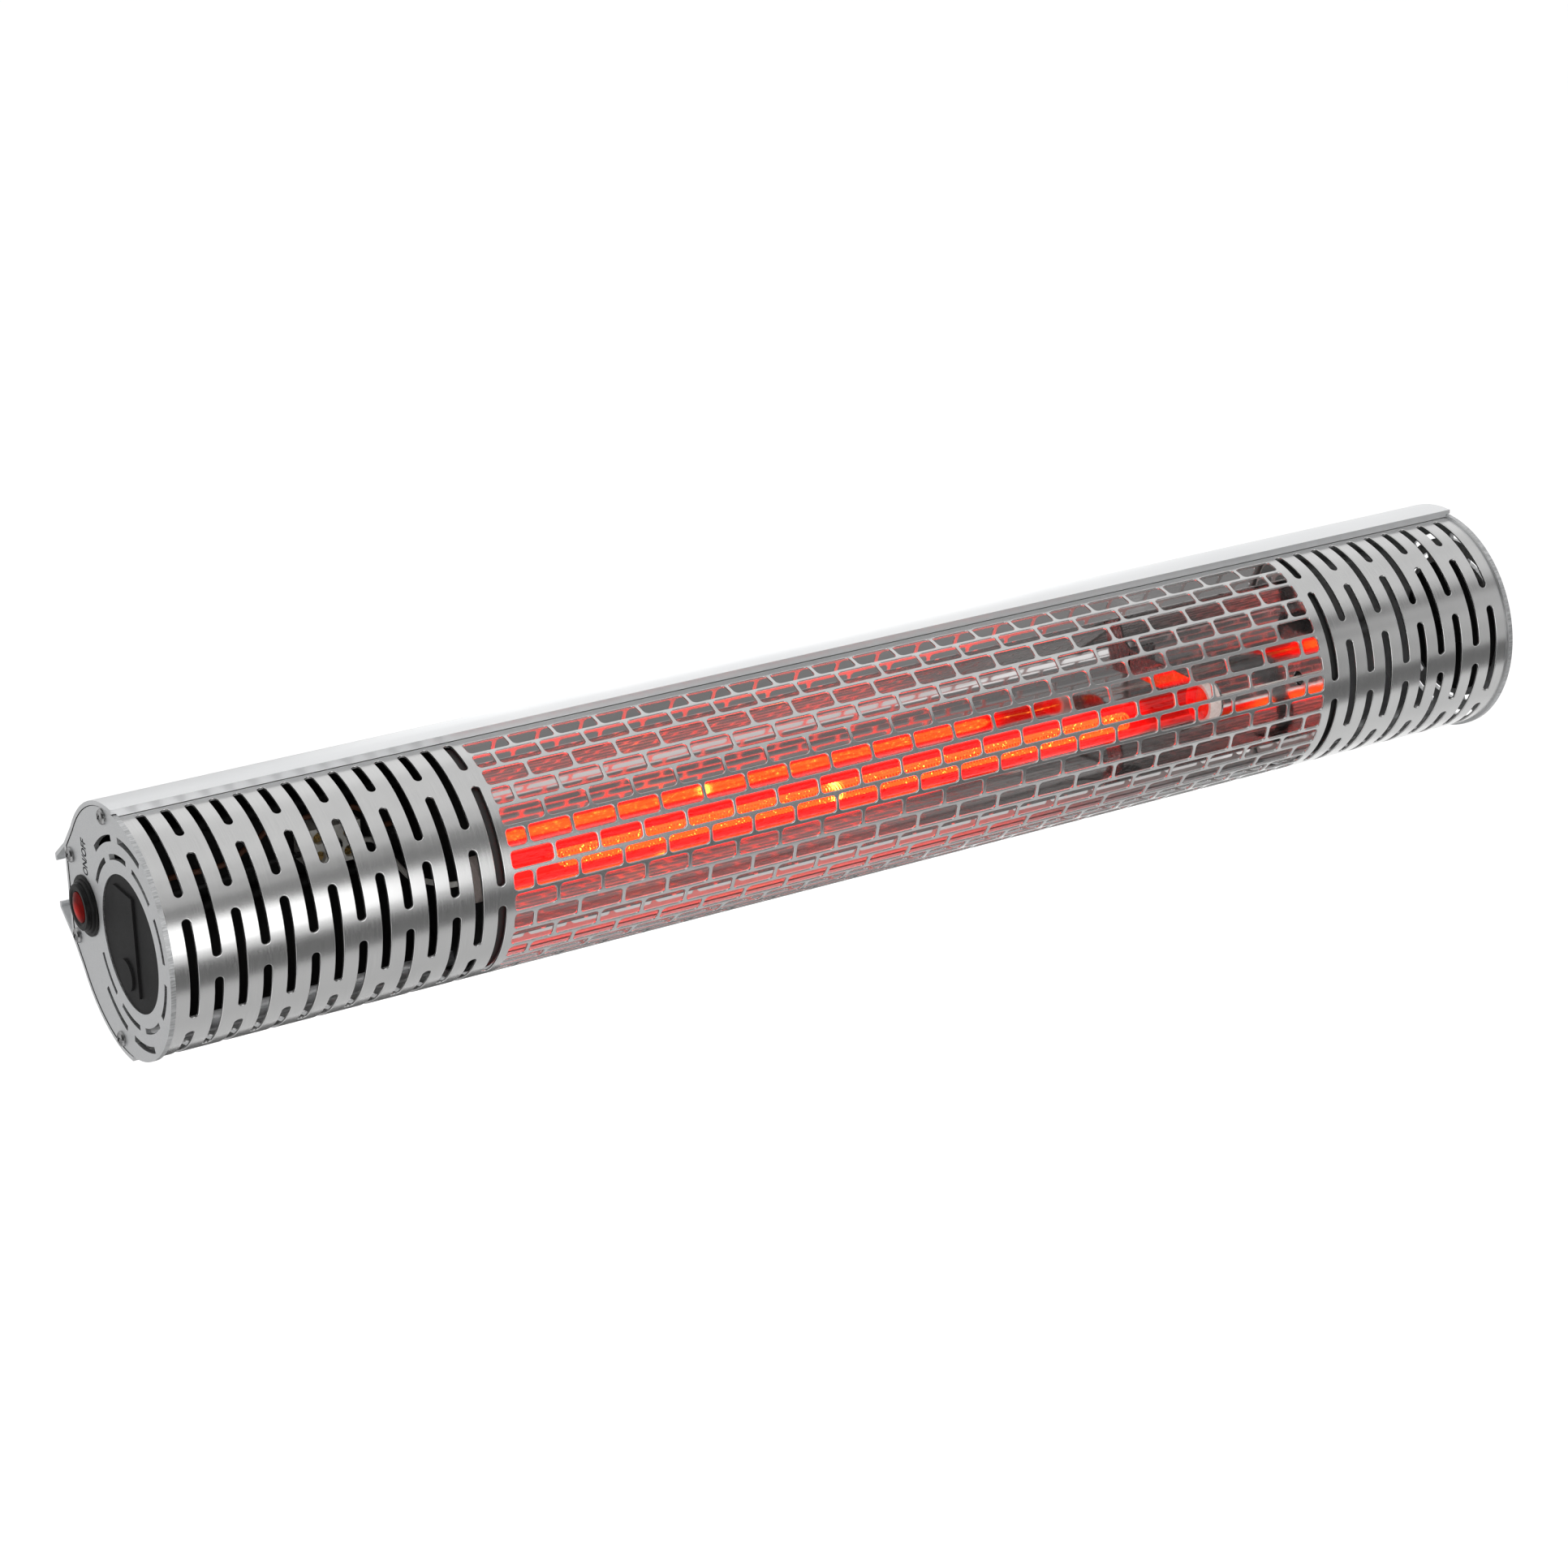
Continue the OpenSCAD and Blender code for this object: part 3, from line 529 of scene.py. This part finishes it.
def lit_lens():
    add, finish = start_finish("lit_lens")
    y, z = split(add, own_place(add))[1:3]
    back = maths(add, "SUBTRACT", y, (SWITCH_BACK - AXIS_BACK) * MM)
    up = maths(add, "ADD", z, LENS_LAMP_DOWN * MM)
    glow = change(add, distance(add, back, up), 0.0, LENS_GLOW_R * MM, 0.34, 0.01)
    haze = stretched_noise(add, (300, 300, 300), 2.0)
    return finish(add(
        "ShaderNodeBsdfPrincipled",
        Base_Color=tint(add, haze, (0.09, 0.001, 0.001), (0.14, 0.002, 0.001)),
        Roughness=between(add, haze, 0.12, 0.22),
        Specular_IOR_Level=0.03,
        Emission_Color=(1.0, 0.02, 0.008, 1),
        Emission_Strength=glow,
    ))


dress("switch_button", lit_lens())


# ---- Marking beside the switch ----------------------------------------------
# The words ON and OFF with a stroke between them, in dark grey ink. They are
# screen-printed on the left plate above the switch, and read upwards.

PLATE_FACE, INK = -391.2, 0.02
LETTERS_BACK, LETTERS_UP, LETTERS, LETTER_WEIGHT = 34.8, 16.4, 5.6, 0.16
LETTERS_TALLER, LETTERS_NARROWER = 1.45, 0.9


def grey_ink():
    add, finish = start_finish("grey_ink")
    wear = stretched_noise(add, (900, 900, 900), 3.0)
    return finish(add(
        "ShaderNodeBsdfPrincipled",
        Base_Color=tint(add, wear, (0.008, 0.009, 0.012), (0.022, 0.024, 0.03)),
        Roughness=between(add, wear, 0.5, 0.65),
        Specular_IOR_Level=0.2,
    ))


letters = bpy.data.curves.new("switch_marking", "FONT")
letters.body = "ON/OFF"
letters.size = LETTERS * MM
letters.extrude = INK / 2 * MM
letters.offset = LETTER_WEIGHT * MM
letters.materials.append(grey_ink())
marking = bpy.data.objects.new("switch_marking", letters)
marking.matrix_world = Matrix((
    (0, 0, -1, (PLATE_FACE - INK) * MM),
    (0, LETTERS_TALLER, 0, (LETTERS_BACK - AXIS_BACK) * MM),
    (LETTERS_NARROWER, 0, 0, LETTERS_UP * MM),
    (0, 0, 0, 1),
))
bpy.context.scene.collection.objects.link(marking)
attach(marking, "heater")


# ---- Lamp glass -------------------------------------------------------------
# A quartz tube with a ruby coating that lets the red and the heat through. Lit,
# it glows deep red as far as the coil reaches, and the coil shows in orange.

GLOW_FADES, GLOW_ENDS = 130.0, 165.0


def ruby_quartz():
    add, finish = start_finish("ruby_quartz")
    streaks = stretched_noise(add, (60, 700, 700), 4.0)
    clear = add("ShaderNodeBsdfTransparent", Color=(1.0, 0.40, 0.34, 1))
    along = split(add, own_place(add))[0]
    fade = change(add, along, GLOW_FADES * MM, GLOW_ENDS * MM, 1.0, 0.06)
    level = maths(add, "MULTIPLY", between(add, streaks, 1.3, 2.1), fade)
    glow = add("ShaderNodeEmission", Color=(1.0, 0.0024, 0.0032, 1), Strength=level)
    body = add("ShaderNodeAddShader", _0=clear.outputs[0], _1=glow.outputs[0])
    shine = add("ShaderNodeBsdfGlossy", Roughness=0.04, Normal=relief(add, streaks, 0.10, 0.0003))
    rim = add("ShaderNodeFresnel", IOR=1.46).outputs[0]
    backfacing = add("ShaderNodeNewGeometry").outputs["Backfacing"]
    outer_rim = maths(add, "MULTIPLY", rim, maths(add, "SUBTRACT", 1.0, backfacing))
    return finish(add(
        "ShaderNodeMixShader", Fac=outer_rim, _1=body.outputs[0], _2=shine.outputs[0]
    ))


dress("lamp_glass", ruby_quartz())


# ---- Filament ---------------------------------------------------------------
# A tightly wound tungsten coil on the lamp's axis with a straight leg at each
# end. Its glow carries a painted highlight, a narrow band near the middle made
# many times brighter, and small painted glints scattered along it. It has about
# three turns for each turn of the solid that it replaces.

PAINTED_HIGHLIGHT_X, PAINTED_HIGHLIGHT_WIDTH = -24.5, 2.2
LAMP_FRONT = -34.0
COIL_X0, COIL_X1, COIL_R, COIL_TURNS = -180.0, 155.0, 4.2, 190
LEG_X0, LEG_X1 = -224.2, 204.0
COIL_WIRE = 0.5


def glowing_tungsten():
    add, finish = start_finish("glowing_tungsten")
    along = split(add, own_place(add))[0]
    # Painted highlight: a narrow band of the coil near the middle is made many times brighter.
    off = maths(add, "DIVIDE", maths(add, "SUBTRACT", along, PAINTED_HIGHLIGHT_X * MM), PAINTED_HIGHLIGHT_WIDTH * MM)
    squared = maths(add, "MULTIPLY", off, off)
    spot = maths(add, "EXPONENT", maths(add, "MULTIPLY", squared, -1.0))
    # Painted glints: small scattered spots of the coil are made much brighter.
    painted_glints = stretched_noise(add, (700, 700, 700), 1.0)
    spark = change(add, painted_glints, 0.67, 0.71, 0.0, 12.0)
    glow = maths(add, "ADD", 1.1, maths(add, "MULTIPLY", spot, 22.0))
    level = maths(add, "ADD", glow, spark)
    return finish(add("ShaderNodeEmission", Color=(0.60, 1.0, 0.16, 1), Strength=level))


def swept_wire(name, path, radius, sides, material):
    """A closed tube that follows points given from the tube's axis."""
    path = np.array(path, float)
    along = np.gradient(path, axis=0)
    along /= np.linalg.norm(along, axis=1)[:, None]
    side = np.cross(along, (0.31, 0.42, 0.85))
    side /= np.linalg.norm(side, axis=1)[:, None]
    up = np.cross(side, along)
    ring = np.arange(sides) * 2 * math.pi / sides
    across = np.cos(ring)[None, :, None] * side[:, None] + np.sin(ring)[None, :, None] * up[:, None]
    skin = path[:, None] + radius * across
    skin = skin.reshape(-1, 3) - (0, AXIS_BACK, 0)
    faces = []
    for i in range(len(path) - 1):
        for k in range(sides):
            a, b = i * sides + k, i * sides + (k + 1) % sides
            faces.append((a, a + sides, b + sides, b))
    faces += [tuple(range(sides)), tuple(reversed(range(len(skin) - sides, len(skin))))]
    mesh = bpy.data.meshes.new(name)
    mesh.from_pydata((skin * MM).tolist(), [], faces)
    mesh.polygons.foreach_set("use_smooth", [len(face) == 4 for face in faces])
    mesh.materials.append(material)
    wire = bpy.data.objects.new(name, mesh)
    bpy.context.scene.collection.objects.link(wire)
    return wire


def wound_path(x0, x1, y, turns, steps, coil_r, legs=()):
    """Points of a coil round X that closes in to the axis where it has legs."""
    total = turns * steps
    path = []
    for i in range(total + 1):
        a = 2 * math.pi * i / steps
        r = coil_r * min(1, i / steps, (total - i) / steps) if legs else coil_r
        path.append((x0 + (x1 - x0) * i / total, y + r * math.cos(a), r * math.sin(a)))
    if legs:
        path = [(legs[0], y, 0.0)] + path + [(legs[1], y, 0.0)]
    return path


coil_path = wound_path(
    COIL_X0, COIL_X1, LAMP_FRONT, COIL_TURNS, steps=12, coil_r=COIL_R, legs=(LEG_X0, LEG_X1)
)
coil = swept_wire("filament_coil", coil_path, COIL_WIRE, sides=5, material=glowing_tungsten())
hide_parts("lamp_filament")
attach(coil, "heater")


# ---- Lamp bases and terminal blocks -----------------------------------------
# Unglazed steatite: the two lamp bases, cemented on the glass, and the blocks
# that the wires are clamped in.

def steatite(name, dark, light):
    add, finish = start_finish(name)
    grain = stretched_noise(add, (700, 700, 700), 4.0)
    return finish(add(
        "ShaderNodeBsdfPrincipled",
        Base_Color=tint(add, grain, dark, light),
        Roughness=between(add, grain, 0.45, 0.65),
        Normal=relief(add, grain, 0.15),
    ))


base_clay = steatite("pink_steatite", (0.66, 0.55, 0.50), (0.80, 0.70, 0.66))
block_clay = steatite("white_steatite", (0.72, 0.70, 0.64), (0.84, 0.83, 0.78))
for name in ("lamp_base_left", "lamp_base_right"):
    dress(name, base_clay)
for name in ("lamp_terminal", "supply_terminal"):
    dress(name, block_clay)


# ---- Reflector --------------------------------------------------------------
# A trough of bright-rolled aluminium behind the lamp, closed at both ends by
# plates of the same sheet. The rolling leaves long, very shallow waves.

def bright_rolled():
    add, finish = start_finish("bright_rolled")
    waves = stretched_noise(add, (22, 190, 190), 2.0)
    lines = stretched_noise(add, (6, 2500, 2500), 2.0)
    height = maths(add, "ADD", waves, maths(add, "MULTIPLY", lines, 0.04))
    return finish(add(
        "ShaderNodeBsdfPrincipled",
        Base_Color=tint(add, waves, (0.80, 0.78, 0.775), (0.86, 0.84, 0.835)),
        Metallic=1.0,
        Roughness=between(add, lines, 0.04, 0.09),
        Normal=relief(add, height, 0.05, 0.0006),
    ))


bright = bright_rolled()
for name in ("reflector", "left_end_reflector", "right_end_reflector"):
    dress(name, bright)


# ---- Bulkheads --------------------------------------------------------------
# Pressed steel walls between the lamp chamber and the two end compartments,
# coloured near black.

def near_black_steel():
    add, finish = start_finish("near_black_steel")
    skin = stretched_noise(add, (800, 800, 800), 3.0)
    return finish(add(
        "ShaderNodeBsdfPrincipled",
        Base_Color=tint(add, skin, (0.008, 0.008, 0.008), (0.016, 0.016, 0.016)),
        Roughness=between(add, skin, 0.5, 0.65),
        Normal=relief(add, skin, 0.12),
    ))


near_black = near_black_steel()
for name in ("left_bulkhead", "right_bulkhead"):
    dress(name, near_black)


# ---- Brass fittings ---------------------------------------------------------
# Clamp screws, the earth screw and the switch's tabs, turned or stamped from
# plain brass and slightly tarnished.

def plain_metal(name, dark, light, rough):
    add, finish = start_finish(name)
    tarnish = stretched_noise(add, (350, 350, 350), 4.0)
    return finish(add(
        "ShaderNodeBsdfPrincipled",
        Base_Color=tint(add, tarnish, dark, light),
        Metallic=1.0,
        Roughness=between(add, tarnish, rough, rough + 0.12),
    ))


brass = plain_metal("plain_brass", (0.62, 0.44, 0.16), (0.78, 0.58, 0.26), 0.22)
for name in ("lamp_terminal_screws", "supply_terminal_screws", "earth_screw", "switch_tabs"):
    dress(name, brass)


# ---- Switch spring ----------------------------------------------------------
# Five turns of drawn steel wire. The spring stands on the floor of the switch's
# bore.

SPRING_FLOOR, SPRING_SEAT, SPRING_WIRE, TRAVEL = -383.2, -389.7, 0.35, 2.5
SPRING_R, SPRING_TURNS = 3.0, 5

spring_path = wound_path(
    SPRING_FLOOR - SPRING_WIRE, SPRING_SEAT + SPRING_WIRE,
    SWITCH_BACK, SPRING_TURNS, steps=28, coil_r=SPRING_R,
)
drawn_wire = plain_metal("drawn_wire", (0.45, 0.45, 0.47), (0.60, 0.60, 0.62), 0.25)
spring = swept_wire("return_spring", spring_path, SPRING_WIRE, sides=10, material=drawn_wire)
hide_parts("switch_spring")
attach(spring, "heater")
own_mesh(spring)


# ---- Wires ------------------------------------------------------------------
# Stranded copper in silicone or woven glass sleeves. They run behind the trough
# from the switch and the lamp to the two terminal blocks.

SLEEVE_R = 1.4


def wire_sleeve(name, dark, light):
    add, finish = start_finish(name)
    weave = stretched_noise(add, (1400, 1400, 1400), 2.0)
    return finish(add(
        "ShaderNodeBsdfPrincipled",
        Base_Color=tint(add, weave, dark, light),
        Roughness=between(add, weave, 0.45, 0.7),
        Normal=relief(add, weave, 0.2),
    ))


def rounded_route(route, reach=6.0, steps=8):
    """The route with each corner turned into a short even bend."""
    route = np.array(route, float)
    path = [route[0]]
    for before, corner, after in zip(route, route[1:], route[2:]):
        arms = []
        for end in (before, after):
            arm = end - corner
            far = np.linalg.norm(arm)
            arms.append(corner + arm / far * min(reach, 0.45 * far))
        for k in range(steps + 1):
            t = k / steps
            path.append((1 - t) ** 2 * arms[0] + 2 * t * (1 - t) * corner + t * t * arms[1])
    return path + [route[-1]]


glass_sleeve = wire_sleeve("woven_glass_sleeve", (0.58, 0.56, 0.52), (0.76, 0.75, 0.71))
brown_sleeve = wire_sleeve("brown_sleeve", (0.10, 0.035, 0.015), (0.17, 0.06, 0.025))
black_sleeve = wire_sleeve("black_sleeve", (0.012, 0.012, 0.012), (0.03, 0.03, 0.03))
earth_sleeve = wire_sleeve("earth_sleeve", (0.03, 0.20, 0.03), (0.55, 0.50, 0.04))
wires = (
    ("feed_sleeve", "feed_wire", "sleeve_brown", brown_sleeve,
     [(304, 52, 10), (288, 52, 10), (276, 49, 1.6), (-236, 49, 1.6), (-246, 49, 15),
      (-290, 49, 15), (-320, 40, 4), (-353.2, 40, 4)]),
    ("switched_sleeve", "switched_wire", "sleeve_black", black_sleeve,
     [(-353.2, 40, -4), (-330, 40, -4), (-296, 52, -5), (-272, 52, -5)]),
    ("lead_left_sleeve", "lamp_lead_left", "sleeve_white", glass_sleeve,
     [(-252, 52, -5), (-238, 52, -5), (-238, 10, -12), (-238, -34, 0), (-224.2, -34, 0)]),
    ("lead_right_sleeve", "lamp_lead_right", "sleeve_white", glass_sleeve,
     [(204, -34, 0), (280, -34, 0), (284, 10, -14), (284, 52, -10), (304, 52, -10)]),
    ("earth_sleeve", "earth_wire", "sleeve_green", earth_sleeve,
     [(322, 52, 0), (328, 52, 0), (332, 59.1, 0), (335.9, 59.1, 0)]),
)
for name, solid, finish_slot, material, route in wires:
    wire = swept_wire(name, rounded_route(route), SLEEVE_R, sides=14, material=material)
    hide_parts(solid)
    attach(wire, "heater")


# ---- Studio -----------------------------------------------------------------
# A wide white floor well below the heater, which is held up by its channel, soft
# lamps in front and behind, and a few grey boards that only the metal mirrors. All
# studio sizes are in metres.

FLOOR_HALF, FLOOR_Z = 30, -0.7


def seen_directly(add):
    """1 for rays from the camera, from a mirror or through glass, else 0."""
    rays = add("ShaderNodeLightPath").outputs
    seen = maths(add, "MAXIMUM", rays["Is Camera Ray"], rays["Is Glossy Ray"])
    return maths(add, "MAXIMUM", seen, rays["Is Transmission Ray"])


def white_floor():
    add, finish = start_finish("white_floor")
    paper = stretched_noise(add, (3, 3, 3), 2.0)
    white = tint(add, paper, (0.93, 0.93, 0.93), (0.95, 0.95, 0.95))
    sheet = add("ShaderNodeBsdfDiffuse", Color=white)
    lifted = maths(add, "MULTIPLY", seen_directly(add), 0.3)
    lift = add("ShaderNodeEmission", Color=(1, 1, 1, 1), Strength=lifted)
    return finish(add("ShaderNodeAddShader", _0=sheet.outputs[0], _1=lift.outputs[0]))


def board_grey(level):
    add, finish = start_finish("board_grey")
    strength = between(add, stretched_noise(add, (2, 2, 2), 2.0), level * 0.9, level * 1.1)
    return finish(add("ShaderNodeEmission", Color=(1, 1, 1, 1), Strength=strength))


def board(name, corners, material):
    mesh = bpy.data.meshes.new(name)
    mesh.from_pydata(corners, [], [(0, 1, 2, 3)])
    mesh.materials.append(material)
    piece = bpy.data.objects.new(name, mesh)
    bpy.context.scene.collection.objects.link(piece)
    return piece


def upright(x, y, z):
    """A board across the heater's length, from x to x and z to z."""
    return [(x[0], y, z[0]), (x[1], y, z[0]), (x[1], y, z[1]), (x[0], y, z[1])]


def lying(z, *outline):
    return [(x, y, z) for x, y in outline]


floor_corners = ((-1, -1), (1, -1), (1, 1), (-1, 1))
floor = [(x * FLOOR_HALF, y * FLOOR_HALF, FLOOR_Z) for x, y in floor_corners]
board("floor", floor, white_floor())

# Each board with its corners and how bright it is, where white is 1.
mirrored_boards = (
    ("low_front_board", upright((-1.0, 2.4), -0.9, (-0.69, -0.20)), 0.16),
    ("mid_front_board", upright((0.55, 4.0), -2.2, (-0.6, 1.0)), 0.66),
    ("dark_front_board", upright((0.70, 1.72), -2.15, (-0.6, 2.2)), 0.22),
    ("dark_right_board", upright((1.72, 2.06), -2.14, (0.98, 1.36)), 0.22),
    ("slanted_board",
     [(0.0, -2.17, 0.33), (3.0, -2.17, 2.13), (3.0, -2.17, 3.03), (0.0, -2.17, 1.23)], 0.20),
    ("high_front_board", upright((-1.5, 4.5), -2.25, (1.0, 4.6)), 0.68),
    ("rear_left_board", upright((-2.5, 0.72), 2.4, (-0.69, 0.9)), 0.60),
    ("ceiling_board", lying(2.0, (-2.5, -1.0), (4, -1.0), (4, 0.9), (-2.5, 0.9)), 0.82),
    ("floor_front", lying(-0.68, (-0.6, -0.89), (0.68, -0.89), (0.68, 0.2), (-0.6, 0.2)), 0.64),
    ("floor_right", lying(-0.68, (0.68, -0.89), (1.8, -0.89), (1.8, 0.2), (0.68, 0.2)), 0.84),
    ("floor_corner",
     lying(-0.675, (-1.0, -0.89), (-0.25, -0.89), (-0.25, -0.6), (-1.0, -0.6)), 0.12),
    ("floor_left", lying(-0.68, (-3.5, 0.2), (-0.3, 0.2), (-0.3, 2.38), (-3.5, 2.38)), 0.50),
    ("floor_behind", lying(-0.68, (-0.3, 0.25), (0.42, 0.25), (1.25, 2.0), (-0.3, 2.0)), 0.12),
    ("floor_bright", lying(-0.68, (0.8, 0.75), (3.0, 0.75), (3.0, 2.6), (1.75, 2.6)), 1.5),
    ("left_board",
     [(-1.9, -2.15, -0.45), (-1.9, 0.1, -0.45), (-1.9, 0.1, 3.2), (-1.9, -2.15, 3.2)], 0.10),
    ("left_front_board", upright((-5.0, -0.95), -2.2, (-0.69, 4.0)), 0.10),
)
for name, corners, level in mirrored_boards:
    piece = board(name, corners, board_grey(level))
    piece.visible_camera = False
    piece.visible_diffuse = False
    piece.visible_shadow = False


def soft_lamp(name, place, aim, size, watts):
    lamp = bpy.data.lights.new(name, "AREA")
    lamp.shape = "RECTANGLE"
    lamp.size, lamp.size_y = size
    lamp.energy = watts
    piece = bpy.data.objects.new(name, lamp)
    piece.location = place
    piece.rotation_euler = (Vector(aim) - Vector(place)).to_track_quat("-Z", "Y").to_euler()
    piece.visible_camera = False
    bpy.context.scene.collection.objects.link(piece)


soft_lamp("front_box", (-0.18, -2.1, 0.30), (-0.18, -0.1, 0.30), (1.5, 0.96), 7.0)
soft_lamp("behind", (1.15, 2.3, 0.15), (0.1, 0, 0), (0.8, 0.8), 2.4)
soft_lamp("overhead", (-0.6, -0.8, 2.6), (0, -0.1, 0), (1.6, 1.2), 14)

# The world lights the heater at 0.75, and is white where it is seen.
world = bpy.data.worlds.new("studio")
bpy.context.scene.world = world
world.use_nodes = True
sky = world.node_tree
add_sky = node_adder(sky)
whiteness = change(add_sky, seen_directly(add_sky), 0.0, 1.0, 0.75, 1.0)
background = sky.nodes["Background"]
background.inputs["Color"].default_value = (1, 1, 1, 1)
sky.links.new(whiteness, background.inputs["Strength"])

# The camera stands to the left of the heater and looks down on it. Its place is
# in metres, and its lens and sensor are in millimetres.
CAMERA_PLACE = (-0.96582, -1.66783, 0.73199)
TURN, DROP, LEAN = math.radians(30.3733), math.radians(21.791), math.radians(-1.3266)
camera_data = bpy.data.cameras.new("photo_camera")
camera_data.sensor_width = 36
camera_data.lens = 90.266
camera_data.clip_start = 0.05
camera_data.clip_end = 100
camera = bpy.data.objects.new("photo_camera", camera_data)
ahead = Vector((math.sin(TURN) * math.cos(DROP), math.cos(TURN) * math.cos(DROP), -math.sin(DROP)))
across = ahead.cross(Vector((0, 0, 1))).normalized()
above = across.cross(ahead)
right = math.cos(LEAN) * across + math.sin(LEAN) * above
upper = -math.sin(LEAN) * across + math.cos(LEAN) * above
camera.matrix_world = Matrix((
    *zip(right, upper, -ahead, CAMERA_PLACE),
    (0, 0, 0, 1),
))
bpy.context.scene.collection.objects.link(camera)
bpy.context.scene.camera = camera

bpy.context.scene.view_settings.view_transform = "Standard"
